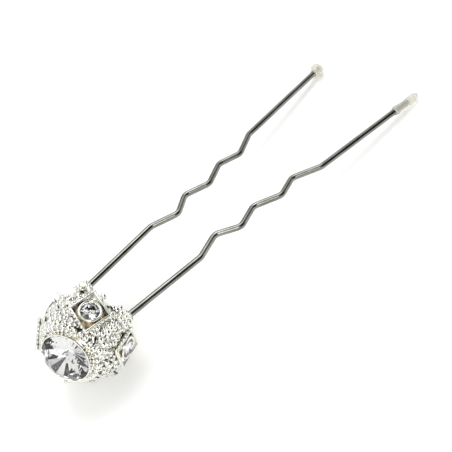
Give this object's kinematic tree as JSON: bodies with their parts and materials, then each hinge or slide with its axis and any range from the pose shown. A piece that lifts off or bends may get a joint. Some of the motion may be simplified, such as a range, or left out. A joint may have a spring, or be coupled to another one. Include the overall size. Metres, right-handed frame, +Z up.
{
  "type": "crimped hairpin with rhinestone ball",
  "caption": "Two-legged crimped wire hairpin with resin-covered tips and a ball-shaped ornament of foiled stones between grained silver petals.",
  "frame": {"origin": "middle of the pin's box, on the surface that it rests on", "axes": "+Y from the ornament towards the tips, +X towards the right leg, +Z up from the table on which the pin lies on its ball and its tips"},
  "size_m": [0.0228, 0.0758, 0.0146],
  "materials": {
    "spring_wire": "drawn spring wire, nickel plated, grey",
    "cream_resin": "dipped translucent cream resin, glossy",
    "silver_plate": "cast, bright silver plated, grained",
    "bright_plate": "stamped, bright silver plated, warm inside",
    "polished_plate": "spun, bright silver plated",
    "foiled_crystal": "faceted clear crystal, silver foil behind"
  },
  "bodies": {
    "ornament": {"back_dome": "polished_plate", "centre_cup": "bright_plate", "centre_stone": "foiled_crystal", "front_dome": "polished_plate", "left_leg_collar": "polished_plate", "lozenge_setting_1": "bright_plate", "lozenge_setting_2": "bright_plate", "lozenge_setting_3": "bright_plate", "lozenge_setting_4": "bright_plate", "petal_1": "silver_plate", "petal_2": "silver_plate", "petal_3": "silver_plate", "petal_4": "silver_plate", "petal_grains_1": "silver_plate", "petal_grains_2": "silver_plate", "petal_grains_3": "silver_plate", "petal_grains_4": "silver_plate", "pin_crown": "spring_wire", "right_leg_collar": "polished_plate", "side_collet_1": "bright_plate", "side_collet_2": "bright_plate", "side_collet_3": "bright_plate", "side_collet_4": "bright_plate", "side_stone_1": "foiled_crystal", "side_stone_2": "foiled_crystal", "side_stone_3": "foiled_crystal", "side_stone_4": "foiled_crystal"},
    "left_leg_flexing": {"left_leg": "spring_wire", "left_ball_tip": "cream_resin"},
    "right_leg_flexing": {"right_leg": "spring_wire", "right_drop_tip": "cream_resin"}
  },
  "joints": [
    {"name": "left_leg_flex", "type": "hinge", "parent": "ornament", "child": "left_leg_flexing", "pos_m": [-0.00446, -0.0249, 0.00908], "axis": [0, 0.1291, 0.9916], "range_deg": [-3.5, 5], "stiffness_Nm_per_rad": 0.2},
    {"name": "right_leg_flex", "type": "hinge", "parent": "ornament", "child": "right_leg_flexing", "pos_m": [0.00565, -0.0249, 0.00908], "axis": [0, -0.1291, -0.9916], "range_deg": [-3.5, 5], "stiffness_Nm_per_rad": 0.2}
  ]
}
